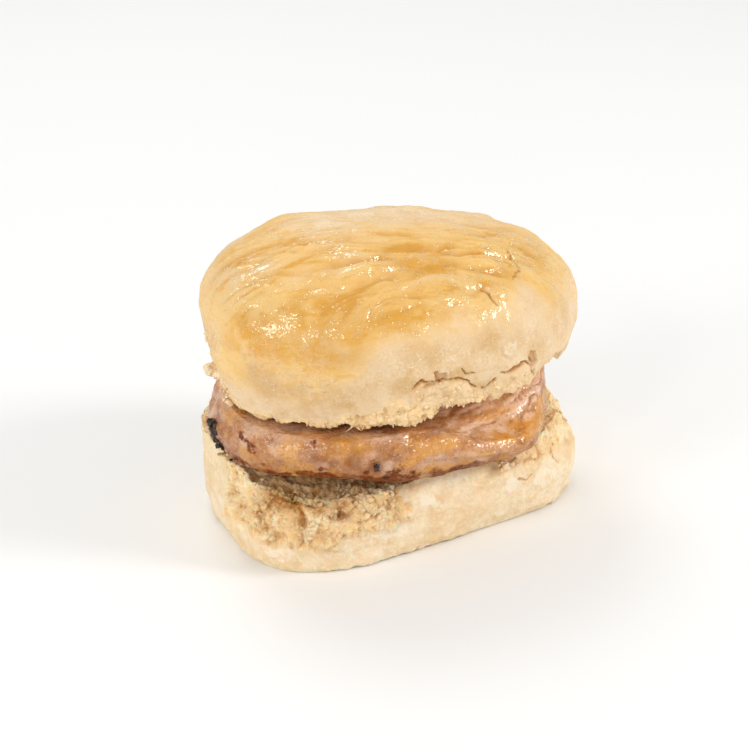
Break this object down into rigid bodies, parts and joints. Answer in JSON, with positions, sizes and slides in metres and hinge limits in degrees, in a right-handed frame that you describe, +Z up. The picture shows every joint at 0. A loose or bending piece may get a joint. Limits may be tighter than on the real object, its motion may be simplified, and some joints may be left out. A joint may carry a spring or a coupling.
{
  "type": "sausage biscuit",
  "caption": "Split golden biscuit with a browned sausage patty between its halves; sits level as a food prop.",
  "frame": {"origin": "middle of the plan at the level the biscuit rests on", "axes": "+Z up; +X towards the right end of the long side, which is the lower end of the dome; -Y towards the front, where the torn crumb shows"},
  "size_m": [0.0869, 0.0711, 0.0648],
  "materials": {
    "golden_crust": "buttered golden crust, softly glossy, over a dull cream crumb",
    "browned_sausage": "greasy pink-tan fried meat with brown and charred patches",
    "pale_crumb": "dull floury crust with torn, porous crumb"
  },
  "bodies": {
    "root": {"biscuit_top": "golden_crust", "sausage_patty": "browned_sausage", "biscuit_bottom": "pale_crumb"}
  },
  "joints": []
}
